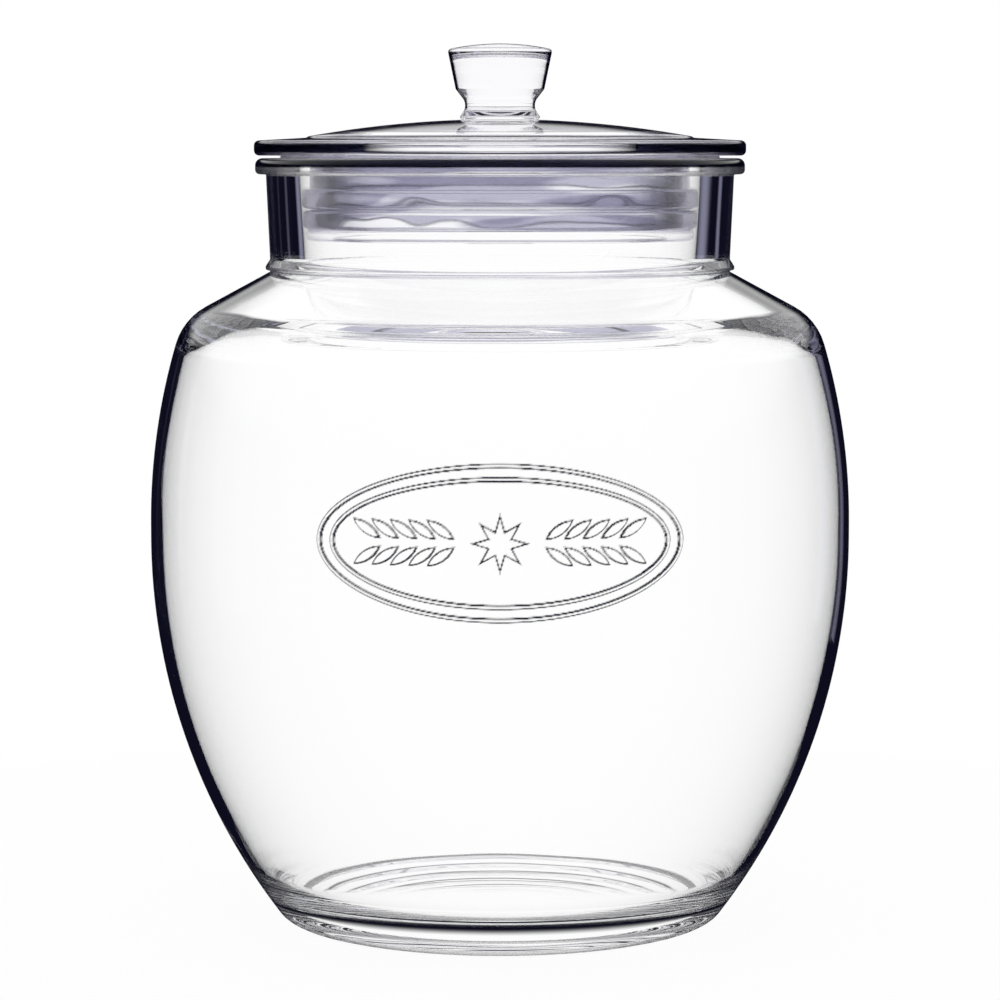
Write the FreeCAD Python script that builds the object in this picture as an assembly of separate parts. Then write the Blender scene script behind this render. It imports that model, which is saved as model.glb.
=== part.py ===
"""Storage jar: a pot-bellied glass jar with a glass plug lid and a clear ribbed seal.

Millimetres, +Z up.  The origin is the centre of the ring that the jar stands on, and
the front, with the oval medallion, faces -Y.  Every piece is turned about Z from a
half profile, so a profile point is written (radius, height).
"""
import FreeCAD, Part
import math
import os

# ---- Jar body -------------------------------------------------------------------
jar_height = 206.9          # standing ring to the top of the rim
belly_radius = 95.0         # widest outside radius
belly_low_z = 104.3         # the straight band at the widest part starts here
belly_band = 4.0            # height of that band
lower_curve = 171.0         # outside arc from the band down to the heel
upper_curve = 170.0         # outside arc from the band up to the shoulder
heel_radius = 5.4           # rounding between the belly and the standing ring
standing_width = 3.0        # flat width of the standing ring
push_up = 2.5               # how far the centre of the underside is hollowed
shoulder_slope = 28.4       # degrees below level, going outward
shoulder_corner = 16.7      # outside rounding between belly and shoulder
belly_wall = 3.0
shoulder_wall = 4.6
base_thickness = 6.0        # glass over the standing ring
inner_heel = 24.0           # rounding inside, between wall and floor

# ---- Neck and rim ---------------------------------------------------------------
neck_height = 30.6          # from the foot of the neck, on the shoulder, to the rim
mouth_radius = 54.4         # inside radius at the top
bore_draft = 3.0            # degrees, narrowing downward
throat_rounding = 3.0       # where the bore opens into the belly
neck_wall = 7.9             # from the mouth's radius to the outside of the neck's foot
neck_flare = 1.0            # the neck is this much wider under the rim bead
neck_fillet = 1.6           # hollow rounding where the neck meets the shoulder
mould_ridge = 1.2           # the mould seam round the foot of the neck stands out
mould_ridge_height = 2.8    # its upper side slopes in, its underside is level
mould_ridge_lift = 0.6      # glass between the shoulder and the ridge
mould_ridge_face = 0.9      # height of its upright outer face
mould_ridge_rounding = 0.35
rim_overhang = 2.9          # the rim bead stands out past the neck
rim_height = 4.3
rim_top_rounding = 2.4      # outside, at the top of the bead
rim_rounding = 1.2          # under the bead and inside the mouth

# ---- Lid ------------------------------------------------------------------------
flange_overhang = 0.3       # the flange's edge stands out past the rim bead
flange_edge = 4.0           # thickness at the outer edge
flange_rounding = 1.4
flange_top_rise = 4.8       # flange's underside to its top, at the step
step_inset = 14.1           # flange's edge to the foot of the step round the dome
step_width = 0.6
dome_edge_rise = 5.2        # flange's underside to the dome, at the step
crown_rise = 9.8            # flange's underside to the crown of the dome
lid_wall = 4.0              # dome and plug skirt
plug_space = 4.5            # between the mouth and the plug's skirt, for the seal
foot_clearance = 0.65       # between the bore and the flange at the foot of the plug
foot_thickness = 3.1
plug_edge = 1.0             # rounding of the plug's foot
plug_depth = 22.4           # flange's underside to the bottom of the plug
inner_rounding = 4.0        # inside the plug, under the dome

# ---- Knob -----------------------------------------------------------------------
knob_height = 20.3          # above the crown
knob_radius = 14.2
knob_dome = 1.5             # its top stands this much above its widest edge
knob_dome_edge = 0.4        # and ends this much above it, at the rounding
knob_rounding = 2.2
knob_taper = 2.2            # the side draws in by this much going down
knob_side = 10.7            # height of the tapered side
knob_waist = 9.45
knob_side_rounding = 1.0
knob_draw_in = 3.3          # from the foot of the side down to the waist
knob_flare = 2.6            # from the crown up to where the stem starts to widen
knob_waist_rounding = 3.0
knob_foot = 10.9
knob_foot_lift = 0.6        # glass between the crown and the edge of the stem's foot
knob_foot_rounding = 0.5
stem_undercut = 0.5         # the stem's edge turns in by this much to meet the dome

# ---- Seal -----------------------------------------------------------------------
seal_clearance = 0.15       # to the skirt inside and to the bore outside
sleeve_wall = 1.5
lip_thickness = 0.7         # the lid rests on the lip and the lip on the rim
lip_width = 5.0             # how far the lip reaches out over the rim
rib_heights = [4.9, 5.1]    # lowest first, each starting above the groove under it
rib_groove = 0.6
rib_rounding = 1.1

# ---- Medallion on the front of the belly ----------------------------------------
medallion_rise = 7.7        # the foot of the belly's widest band to the middle
medallion_width = 92.0
medallion_height = 40.0
relief = 0.8                # how far the pattern stands out of the glass
ring_width = 1.6
ring_gap = 1.7              # between the two oval rings
leaf_pairs = 5              # pairs of leaves on each sprig
leaf_length = 9.0
leaf_width = 3.0
leaf_spread = 35.0          # degrees between a leaf and its stem
leaf_parting = 1.5          # between the feet of a pair
stem_start = 11.0           # from the middle to the first pair
stem_pitch = 4.6
star_radius = 8.0
star_points = 8
star_notch = 0.45           # reach of the short points, as a share of the long ones

CENTRE = FreeCAD.Vector(0, 0, 0)
UP = FreeCAD.Vector(0, 0, 1)
OUT = FreeCAD.Vector(0, -1, 0)


# ---- Profile helpers --------------------------------------------------------------
def point(radius, height):
    """Profile points lie in the YZ plane, behind the axis, so seams fall at the back."""
    return FreeCAD.Vector(0, radius, height)


def line(a, b):
    return Part.LineSegment(point(*a), point(*b)).toShape()


def arc(centre, radius, start, end):
    """Arc between two angles in degrees, from the radial direction towards +Z."""
    def at(angle):
        turn = math.radians(angle)
        return point(centre[0] + radius * math.cos(turn), centre[1] + radius * math.sin(turn))
    return Part.Arc(at(start), at((start + end) / 2), at(end)).toShape()


def cap_arc(inner, outer):
    """Arc of a sphere centred on the axis through two profile points."""
    middle = ((outer[0] ** 2 - inner[0] ** 2) / (outer[1] - inner[1]) + outer[1] + inner[1]) / 2
    radius = math.hypot(outer[0], outer[1] - middle)
    half = (inner[0] + outer[0]) / 2
    side = math.copysign(1, inner[1] - middle)
    via = (half, middle + side * math.sqrt(radius ** 2 - half ** 2))
    return Part.Arc(point(*inner), point(*via), point(*outer)).toShape()


def rounded(corners):
    """Straight edges through (radius, height, rounding) corners, each corner rounded."""
    edges, last = [], corners[0][:2]
    for before, here, after in zip(corners, corners[1:], corners[2:]):
        into = (here[0] - before[0], here[1] - before[1])
        out = (after[0] - here[0], after[1] - here[1])
        into_length, out_length = math.hypot(*into), math.hypot(*out)
        turn = math.atan2(into[0] * out[1] - into[1] * out[0], into[0] * out[0] + into[1] * out[1])
        bend = abs(math.tan(turn / 2))
        if here[2] <= 0 or bend < 1e-6:
            edges.append(line(last, here[:2]))
            last = here[:2]
            continue
        rounding = min(here[2], 0.45 * min(into_length, out_length) / bend)
        back = rounding * bend
        start = (here[0] - into[0] / into_length * back, here[1] - into[1] / into_length * back)
        end = (here[0] + out[0] / out_length * back, here[1] + out[1] / out_length * back)
        side = math.copysign(rounding, turn)
        middle = (start[0] - into[1] / into_length * side, start[1] + into[0] / into_length * side)
        pull = math.hypot(here[0] - middle[0], here[1] - middle[1])
        via = (middle[0] + (here[0] - middle[0]) / pull * rounding,
               middle[1] + (here[1] - middle[1]) / pull * rounding)
        edges.append(line(last, start))
        edges.append(Part.Arc(point(*start), point(*via), point(*end)).toShape())
        last = end
    edges.append(line(last, corners[-1][:2]))
    return edges


def turned(edges):
    """Solid of revolution about Z from the edges of a closed half profile."""
    face = Part.Face(Part.Wire(Part.sortEdges(edges)[0]))
    return face.revolve(CENTRE, UP, 360)


# ---- Shared places ----------------------------------------------------------------
belly_high_z = belly_low_z + belly_band
medallion_z = belly_low_z + medallion_rise
neck_foot_z = jar_height - neck_height
neck_foot_radius = mouth_radius + neck_wall
neck_top_radius = neck_foot_radius + neck_flare
rim_radius = neck_top_radius + rim_overhang
flange_z = jar_height + lip_thickness
plug_bottom_z = flange_z - plug_depth
foot_top_z = plug_bottom_z + foot_thickness
skirt_radius = mouth_radius - plug_space
flange_radius = rim_radius + flange_overhang
step_radius = flange_radius - step_inset


def bore_radius(height):
    """Inside radius of the neck at a height."""
    return mouth_radius - (jar_height - height) * math.tan(math.radians(bore_draft))


# ---- Belly ------------------------------------------------------------------------
def belly(inset, heel, floor, corner, shoulder_inset):
    """Belly edges from the heel to the shoulder, and their first and last points.

    inset moves the two big arcs inward, shoulder_inset the shoulder line.
    """
    low_radius, high_radius = lower_curve - inset, upper_curve - inset
    low = (belly_radius - lower_curve, belly_low_z)
    high = (belly_radius - upper_curve, belly_high_z)
    side = belly_radius - inset

    heel_z = floor + heel
    heel_r = low[0] + math.sqrt((low_radius - heel) ** 2 - (low[1] - heel_z) ** 2)
    heel_angle = math.degrees(math.atan2(heel_z - low[1], heel_r - low[0]))

    # The corner's centre is its own radius under the shoulder line and inside the arc.
    slope = math.radians(shoulder_slope)
    along = (math.cos(slope), -math.sin(slope))
    across = (math.sin(slope), math.cos(slope))
    under = shoulder_inset + corner
    start = (neck_foot_radius - across[0] * under, neck_foot_z - across[1] * under)
    gap = (start[0] - high[0], start[1] - high[1])
    half_b = gap[0] * along[0] + gap[1] * along[1]
    rest = gap[0] ** 2 + gap[1] ** 2 - (high_radius - corner) ** 2
    reach = -half_b + math.sqrt(half_b ** 2 - rest)
    centre = (start[0] + along[0] * reach, start[1] + along[1] * reach)
    corner_angle = math.degrees(math.atan2(centre[1] - high[1], centre[0] - high[0]))
    shoulder_angle = 90 - shoulder_slope

    edges = [
        arc((heel_r, heel_z), heel, -90, heel_angle),
        arc(low, low_radius, heel_angle, 0),
        line((side, belly_low_z), (side, belly_high_z)),
        arc(high, high_radius, 0, corner_angle),
        arc(centre, corner, corner_angle, shoulder_angle),
    ]
    last = (centre[0] + across[0] * corner, centre[1] + across[1] * corner)
    return edges, (heel_r, floor), last


def medallion_band():
    """Skin that follows the belly, from inside the wall to the top of the relief."""
    reach = medallion_height / 2 + ring_width
    low = (belly_radius - lower_curve, belly_low_z)
    high = (belly_radius - upper_curve, belly_high_z)
    down = math.degrees(math.asin((medallion_z - reach - low[1]) / lower_curve))
    up = math.degrees(math.asin((medallion_z + reach - high[1]) / upper_curve))

    def ends(offset):
        bottom, top = math.radians(down), math.radians(up)
        low_r, high_r = lower_curve + offset, upper_curve + offset
        return ((low[0] + low_r * math.cos(bottom), low[1] + low_r * math.sin(bottom)),
                (high[0] + high_r * math.cos(top), high[1] + high_r * math.sin(top)))

    edges = []
    for offset in (-belly_wall / 2, relief):
        edges.append(arc(low, lower_curve + offset, down, 0))
        edges.append(line((belly_radius + offset, belly_low_z), (belly_radius + offset, belly_high_z)))
        edges.append(arc(high, upper_curve + offset, 0, up))
    inner, outer = ends(-belly_wall / 2), ends(relief)
    edges.append(line(inner[0], outer[0]))
    edges.append(line(inner[1], outer[1]))
    return turned(edges)


# ---- Medallion pattern, drawn on the XZ plane and cut forward -----------------------
def flat(x, z):
    return FreeCAD.Vector(x, 0, medallion_z + z)


def oval(half_width, half_height):
    ellipse = Part.Ellipse(flat(half_width, 0), flat(0, half_height), flat(0, 0))
    return Part.Face(Part.Wire(ellipse.toShape()))


def oval_ring(half_width, half_height):
    return oval(half_width, half_height).cut(oval(half_width - ring_width, half_height - ring_width))


def leaf(x, z, angle):
    """Pointed leaf from two arcs, starting at (x, z) and pointing along the angle."""
    turn = math.radians(angle)
    tip = (x + leaf_length * math.cos(turn), z + leaf_length * math.sin(turn))
    middle = ((x + tip[0]) / 2, (z + tip[1]) / 2)
    bulge = (-math.sin(turn) * leaf_width / 2, math.cos(turn) * leaf_width / 2)
    sides = [Part.Arc(flat(x, z), flat(middle[0] + s * bulge[0], middle[1] + s * bulge[1]),
                      flat(*tip)).toShape() for s in (1, -1)]
    return Part.Face(Part.Wire(sides))


def sprig(side):
    """Leaves in pairs along a level stem, to one side of the middle."""
    leaves = []
    for pair in range(leaf_pairs):
        x = side * (stem_start + pair * stem_pitch)
        for turn in (leaf_spread, -leaf_spread):
            z = math.copysign(leaf_parting / 2, turn)
            leaves.append(leaf(x, z, turn if side > 0 else 180 - turn))
    return leaves


def star():
    """Star of alternating long and short points."""
    corners = []
    for step in range(2 * star_points):
        angle = math.pi * step / star_points
        reach = star_radius if step % 2 == 0 else star_radius * star_notch
        corners.append(flat(reach * math.sin(angle), reach * math.cos(angle)))
    return Part.Face(Part.makePolygon(corners + corners[:1]))


def medallion():
    half_width, half_height = medallion_width / 2, medallion_height / 2
    inset = ring_width + ring_gap
    faces = [oval_ring(half_width, half_height), oval_ring(half_width - inset, half_height - inset), star()]
    faces += sprig(1) + sprig(-1)
    band = medallion_band()
    forward = OUT * (belly_radius + 2 * relief)
    return [face.extrude(forward).common(band) for face in faces]


# ---- The three pieces ---------------------------------------------------------------
def make_jar_body():
    outer, standing, shoulder = belly(0, heel_radius, 0, shoulder_corner, 0)
    inner, floor, inner_shoulder = belly(belly_wall, inner_heel, base_thickness,
                                         shoulder_corner - belly_wall, shoulder_wall)
    # The tapered bore and the inside of the shoulder meet here.
    slope, draft = math.tan(math.radians(shoulder_slope)), math.tan(math.radians(bore_draft))
    reach = inner_shoulder[0] - mouth_radius + jar_height * draft
    throat_z = (inner_shoulder[1] + reach * slope) / (1 + draft * slope)
    neck_top_z = jar_height - rim_height
    ridge_bottom = neck_foot_z + mould_ridge_lift
    ridge_top = ridge_bottom + mould_ridge_height
    ridge_radius = neck_foot_radius + mould_ridge
    neck = rounded([
        (shoulder[0], shoulder[1], 0),
        (neck_foot_radius, neck_foot_z, neck_fillet),
        (neck_foot_radius, ridge_bottom, 0),
        (ridge_radius, ridge_bottom, mould_ridge_rounding),
        (ridge_radius, ridge_bottom + mould_ridge_face, mould_ridge_rounding),
        (neck_foot_radius, ridge_top, 0),
        (neck_top_radius, neck_top_z, 0),
        (rim_radius, neck_top_z, rim_rounding),
        (rim_radius, jar_height, rim_top_rounding),
        (mouth_radius, jar_height, rim_rounding),
        (bore_radius(throat_z), throat_z, throat_rounding),
        (inner_shoulder[0], inner_shoulder[1], 0),
    ])
    ring_inner = standing[0] - standing_width
    underside = [
        line(standing, (ring_inner, 0)),
        cap_arc((0, push_up), (ring_inner, 0)),
        line((0, push_up), (0, base_thickness)),
        line((0, base_thickness), floor),
    ]
    body = turned(outer + neck + inner + underside)
    return body.fuse(medallion()).removeSplitter()


def make_lid():
    crown_z = flange_z + crown_rise
    dome_edge = (step_radius - step_width, flange_z + dome_edge_rise)
    drop = crown_z - dome_edge[1]
    dome_radius = (dome_edge[0] ** 2 + drop ** 2) / (2 * drop)
    bore = skirt_radius - lid_wall
    foot_radius = bore_radius(plug_bottom_z) - foot_clearance

    def dome(radius, depth=0):
        """Point at a radius on the dome, or on the hollow's roof at the wall's depth."""
        return radius, crown_z - dome_radius + math.sqrt((dome_radius - depth) ** 2 - radius ** 2)

    roof_edge = dome(bore - 2 * inner_rounding, lid_wall)
    knob_top_z = crown_z + knob_height
    knob_edge_z = knob_top_z - knob_dome
    side_foot = (knob_radius - knob_taper, knob_edge_z - knob_side)
    knob_corner = (knob_radius - knob_rounding, knob_edge_z + knob_dome_edge)
    stem = dome(knob_foot - stem_undercut)
    top = [cap_arc((0, knob_top_z), knob_corner)]
    top += rounded([
        (knob_corner[0], knob_corner[1], 0),
        (knob_radius, knob_edge_z, knob_rounding),
        (side_foot[0], side_foot[1], knob_side_rounding),
        (knob_waist, side_foot[1] - knob_draw_in, knob_waist_rounding),
        (knob_waist, crown_z + knob_flare, knob_waist_rounding),
        (knob_foot, crown_z + knob_foot_lift, knob_foot_rounding),
        (*stem, 0),
    ])
    top.append(cap_arc(stem, dome_edge))
    rim_and_plug = rounded([
        (dome_edge[0], dome_edge[1], 0),
        (step_radius, flange_z + flange_top_rise, step_width / 2),
        (flange_radius, flange_z + flange_edge, flange_rounding),
        (flange_radius, flange_z, flange_rounding),
        (skirt_radius, flange_z, 0),
        (skirt_radius, foot_top_z, 0),
        (foot_radius, foot_top_z, plug_edge),
        (foot_radius, plug_bottom_z, plug_edge),
        (bore, plug_bottom_z, plug_edge),
        (bore, dome(bore, lid_wall)[1], inner_rounding),
        (roof_edge[0], roof_edge[1], 0),
    ])
    under = [cap_arc(dome(0, lid_wall), roof_edge)]
    axis = [line(dome(0, lid_wall), (0, knob_top_z))]
    return turned(top + rim_and_plug + under + axis)


def make_seal():
    inner = skirt_radius + seal_clearance
    sleeve = inner + sleeve_wall
    lip_radius = mouth_radius + lip_width
    corners = [(inner, flange_z, 0), (inner, foot_top_z, 0)]
    base = foot_top_z
    for height in rib_heights:
        reach = bore_radius(base) - seal_clearance
        corners.append((sleeve, base, 0) if base > foot_top_z else (reach, base, rib_rounding))
        if base > foot_top_z:
            corners.append((reach, base, rib_rounding))
        corners.append((reach, base + height, rib_rounding))
        corners.append((sleeve, base + height, 0))
        base += height + rib_groove
    corners += [(sleeve, jar_height, 0), (lip_radius, jar_height, 0), (lip_radius, flange_z, 0)]
    return turned(rounded(corners) + [line((lip_radius, flange_z), (inner, flange_z))])


os.makedirs("parts", exist_ok=True)
for name, make in (("jar_body", make_jar_body), ("lid", make_lid), ("seal", make_seal)):
    piece = make()
    if len(piece.Solids) != 1:
        raise RuntimeError(name + " is not one solid")
    piece.Solids[0].exportStep("parts/" + name + ".step")
    box = piece.BoundBox
    print(name, "valid", piece.isValid(), "volume %.0f mm3" % piece.Volume,
          "x %.2f %.2f  y %.2f %.2f  z %.2f %.2f" % (box.XMin, box.XMax, box.YMin, box.YMax, box.ZMin, box.ZMax))
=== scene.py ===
"""Glass storage jar: blown body, pressed plug lid and clear ribbed seal, on a white sweep."""
import math

import bpy
import numpy as np
from bpy.props import FloatProperty, FloatVectorProperty, IntProperty, PointerProperty
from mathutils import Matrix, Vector


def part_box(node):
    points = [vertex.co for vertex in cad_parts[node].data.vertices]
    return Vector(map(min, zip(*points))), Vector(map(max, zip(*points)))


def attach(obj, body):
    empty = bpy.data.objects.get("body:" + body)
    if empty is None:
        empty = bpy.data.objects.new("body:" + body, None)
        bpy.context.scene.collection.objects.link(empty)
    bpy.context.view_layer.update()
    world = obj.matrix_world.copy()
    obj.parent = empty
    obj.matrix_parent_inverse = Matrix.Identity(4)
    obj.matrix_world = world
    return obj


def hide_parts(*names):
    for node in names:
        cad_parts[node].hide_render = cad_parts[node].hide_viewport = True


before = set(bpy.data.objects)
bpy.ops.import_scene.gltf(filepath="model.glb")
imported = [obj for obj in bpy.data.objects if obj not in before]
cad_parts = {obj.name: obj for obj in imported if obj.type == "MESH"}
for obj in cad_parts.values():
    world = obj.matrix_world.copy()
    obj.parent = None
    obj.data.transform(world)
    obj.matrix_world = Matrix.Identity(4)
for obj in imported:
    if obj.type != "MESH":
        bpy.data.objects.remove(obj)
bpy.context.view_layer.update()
JAR_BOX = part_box("jar_body")
LID_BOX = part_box("lid")
SEAL_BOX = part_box("seal")

bl_info = {
    "name": "Glass Storage Jar",
    "version": (1, 0, 0),
    "blender": (4, 5, 0),
    "location": "3D View > Sidebar > Jar",
    "description": "Builds a pot-bellied glass storage jar with a plug lid and a ribbed seal",
    "category": "Add Mesh",
}

MM = 0.001
TINY = 1e-7

# Longest steps along a profile, and the finer patch that carries the relief.
LINE_STEP = 4 * MM
ARC_STEP = 2.5 * MM
BELLY_STEP = 3.2 * MM
ARC_TURN = math.radians(12)
PATCH_MARGIN = 1.5 * MM
PATCH_SPLIT = 10

# Small forms and clearances that no setting changes.
SMALL_ROUNDING = 0.2 * MM
CONTACT_GAP = 0.03 * MM
STEM_UNDERCUT = 0.5 * MM
STEM_LIFT = 0.6 * MM
RIDGE_FACE = 0.9 * MM
RIDGE_ROUNDING = 0.35 * MM
KNOB_DOME_EDGE = 0.4 * MM
WAIST_ROUNDING = 3.0 * MM
SIDE_ROUNDING = 1.0 * MM
STAR_NOTCH = 0.45

# Finishes.  Each edge range below runs from clear to a painted dark shade, where 0 is face on
# and 1 is edge on; the all-round range paints that shade at every angle.
GLASS_IOR, SEAL_IOR = 1.52, 1.41
SEAL_ROUGHNESS = 0.06
GLASS_FLATTEN, SEAL_FLATTEN = 0.5, 2.0
RIPPLE_DEPTH = 1.0 * MM
# The relief's flanks get a painted dark shade through this vertex attribute; the fill sets how
# soon it reaches full strength.
FLANK_SHADE = "relief_flank_shade"
FLANK_SHADE_FILL = 12.0
THIN_EDGE_PAINTED_SHADE = (0.86, 1.0)
ROUND_EDGE_PAINTED_SHADE = (0.58, 0.68)
THICK_EDGE_PAINTED_SHADE = (0.05, 0.17)
SEAL_EDGE_PAINTED_SHADE = (0.15, 0.6)
PAINTED_SHADE_ALL_ROUND = (-0.1, 0.0)
# Noise levels over which the seal's pale bands, painted highlights, fade in.
HIGHLIGHT_BANDS = (0.46, 0.58)
# Blend width and heights of the bands of the rim and the lid that get painted dark shade.
ZONE_BLEND = 0.3 * MM
STEP_BAND = 0.55 * MM
RIM_BAND = 2.4 * MM

# Studio.  A ceiling is how far up a ray points, from 0 level to 1 straight up; a wall is the
# number of surfaces that the light has passed on its way.
SENSOR = 36.0
NEAR_CLIP, FAR_CLIP = 0.01, 20.0
LIGHT_BOUNCES = 64
WHITE = (1.0, 1.0, 1.0)
TABLE_FACETS = 96
TABLE_WHITE = (0.9, 0.9, 0.9, 1.0)
TABLE_FADE = (0.25, 0.7)
UNDER_BASE = (0.048, 0.056)
LOW_CEILING = (0.14, 0.24)
HIGH_CEILING = (0.22, 0.45)
NEAR_WALL = 3.5
PLUG_WALL = 8.5
WINDOWS = 5.0
WINDOW_EDGE = (0.5, 0.68)


# ---- Settings ---------------------------------------------------------------------
def measured(name, default, description):
    """Length property, its default given in metres."""
    return FloatProperty(name=name, description=description, default=default, min=0.0,
                         precision=4, unit="LENGTH")


def size(name, default, description):
    """Length property, its default given in millimetres."""
    return measured(name, default * MM, description)


def angle(name, default, description):
    """Angle property, its default given in degrees."""
    return FloatProperty(name=name, description=description, default=math.radians(default),
                         subtype="ANGLE")


def number(name, default, description, highest=10000.0):
    """Plain number, 0 or more."""
    return FloatProperty(name=name, description=description, default=default, min=0.0,
                         max=highest)


def tint(name, default, description):
    """Colour property."""
    return FloatVectorProperty(name=name, description=description, default=default, size=3,
                               min=0.0, max=1.0, subtype="COLOR")


class JarShape(bpy.types.PropertyGroup):
    """Sizes of the jar body."""
    height: measured("Height", JAR_BOX[1].z, "Standing ring to the top of the rim")
    belly_radius: measured("Belly radius", JAR_BOX[1].y, "Widest outside radius")
    belly_low: size("Belly low", 104.3, "Height at which the widest band starts")
    belly_band: size("Belly band", 4.0, "Height of the widest band")
    lower_curve: size("Lower curve", 171.0, "Radius of the outside arc below the band")
    upper_curve: size("Upper curve", 170.0, "Radius of the outside arc above the band")
    heel_radius: size("Heel", 5.4, "Rounding between belly and standing ring")
    standing_width: size("Standing ring", 3.0, "Flat width of the standing ring")
    push_up: size("Push-up", 2.5, "How far the centre of the underside is hollowed")
    shoulder_slope: angle("Shoulder slope", 28.4, "Below level, going outward")
    shoulder_corner: size("Shoulder corner", 16.7, "Rounding between belly and shoulder")
    belly_wall: size("Belly wall", 3.0, "Glass thickness of the belly")
    shoulder_wall: size("Shoulder wall", 4.6, "Glass thickness of the shoulder")
    base_thickness: size("Base thickness", 6.0, "Glass over the standing ring")
    inner_heel: size("Inner heel", 24.0, "Rounding inside, between wall and floor")
    neck_height: size("Neck height", 30.6, "Foot of the neck to the rim")
    neck_foot_radius: size("Neck foot radius", 62.3, "Outside radius at the foot of the neck")
    neck_flare: size("Neck flare", 1.0, "The neck is this much wider under the rim bead")
    neck_fillet: size("Neck fillet", 0.5, "Hollow rounding at the foot of the neck")
    ridge: size("Mould ridge", 1.2, "How far the mould seam stands out")
    ridge_height: size("Ridge height", 2.8, "Height of the mould seam")
    ridge_lift: size("Ridge lift", 0.6, "Glass between shoulder and mould seam")
    rim_overhang: size("Rim overhang", 2.9, "The rim bead stands out past the neck")
    rim_height: size("Rim height", 4.3, "Height of the rim bead")
    rim_top_rounding: size("Rim top rounding", 2.4, "Outside, at the top of the bead")
    rim_rounding: size("Rim rounding", 1.2, "Under the bead and inside the mouth")
    mouth_radius: size("Mouth radius", 54.4, "Inside radius at the top")
    bore_draft: angle("Bore draft", 3.0, "The bore narrows downward by this")
    throat_rounding: size("Throat rounding", 3.0, "Where the bore opens into the belly")
    columns: IntProperty(name="Columns", description="Facets round each piece",
                         default=192, min=24)


class MedallionShape(bpy.types.PropertyGroup):
    """Sizes of the oval relief on the front of the belly."""
    centre_z: size("Centre height", 112.0, "Height of the middle of the oval")
    width: size("Width", 92.0, "Width of the outer oval")
    height: size("Height", 40.0, "Height of the outer oval")
    relief: size("Relief", 0.8, "How far the pattern stands out")
    edge: size("Edge rounding", 0.7, "Width over which the relief rises")
    ring_width: size("Ring width", 1.6, "Width of each oval ring")
    ring_gap: size("Ring gap", 1.7, "Space between the two oval rings")
    leaf_pairs: IntProperty(name="Leaf pairs", description="Pairs on each sprig", default=5, min=1)
    leaf_length: size("Leaf length", 9.0, "Tip to tip")
    leaf_width: size("Leaf width", 3.0, "At the middle")
    leaf_spread: angle("Leaf spread", 35.0, "Between a leaf and its stem")
    stem_start: size("Stem start", 11.0, "Middle of the oval to the first pair")
    stem_pitch: size("Stem pitch", 4.6, "From one pair to the next")
    star_radius: size("Star radius", 8.0, "Reach of the long points")
    star_points: IntProperty(name="Star points", description="Long points", default=8, min=3)


class LidShape(bpy.types.PropertyGroup):
    """Sizes of the lid; heights are from the underside of its flange."""
    flange_radius: measured("Flange radius", LID_BOX[1].y, "Outside radius")
    top: measured("Top", LID_BOX[1].z, "Height of the top of the knob")
    bottom: measured("Bottom", LID_BOX[0].z, "Height of the bottom of the plug")
    flange_edge: size("Flange edge", 4.0, "Thickness at the outer edge")
    flange_rounding: size("Flange rounding", 1.4, "Rounding of the outer edge")
    flange_top_rise: size("Flange top", 4.8, "Height of the flange's top at the step")
    step_radius: size("Step radius", 52.4, "Foot of the step between flange and dome")
    step_width: size("Step width", 0.6, "Width of the step")
    dome_edge_rise: size("Dome edge", 5.2, "Height of the dome at the step")
    crown_rise: size("Crown", 9.8, "Height of the crown of the dome")
    knob_height: size("Knob height", 20.3, "Crown to the top of the knob")
    wall: size("Wall", 4.0, "Glass thickness of dome and skirt")
    skirt_radius: size("Skirt radius", 49.9, "Outside of the plug skirt")
    foot_radius: size("Foot radius", 52.6, "Flange at the foot of the plug")
    foot_thickness: size("Foot thickness", 3.1, "Height of that flange")
    inner_rounding: size("Inner rounding", 4.0, "Inside the plug, under the dome")
    knob_radius: size("Knob radius", 14.2, "Widest radius of the knob")
    knob_dome: size("Knob dome", 1.5, "Rise of the knob's top")
    knob_rounding: size("Knob rounding", 2.2, "Rounding of the knob's edge")
    knob_taper: size("Knob taper", 2.2, "The side draws in by this much")
    knob_side: size("Knob side", 10.7, "Height of the tapered side")
    knob_waist: size("Knob waist", 9.45, "Narrowest radius of the stem")
    knob_foot: size("Knob foot", 10.9, "Radius where the stem meets the dome")
    knob_draw_in: size("Knob draw-in", 3.3, "Height from the foot of the side to the waist")
    knob_flare: size("Knob flare", 2.6, "Height of the waist over the crown")


class SealShape(bpy.types.PropertyGroup):
    """Sizes of the seal."""
    lip_radius: measured("Lip radius", SEAL_BOX[1].y, "Outside radius of the lip")
    top: measured("Top", SEAL_BOX[1].z, "Height of the top of the lip")
    bottom: measured("Bottom", SEAL_BOX[0].z, "Height of the foot of the sleeve")
    clearance: size("Clearance", 0.15, "To the skirt inside and the bore outside")
    sleeve_wall: size("Sleeve wall", 1.5, "Thickness between the ribs")
    low_rib: size("Low rib", 4.9, "Height of the lower rib")
    high_rib: size("High rib", 5.1, "Height of the upper rib")
    groove: size("Groove", 0.6, "Between the two ribs")
    rib_rounding: size("Rib rounding", 1.1, "Rounding of the ribs")


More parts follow.
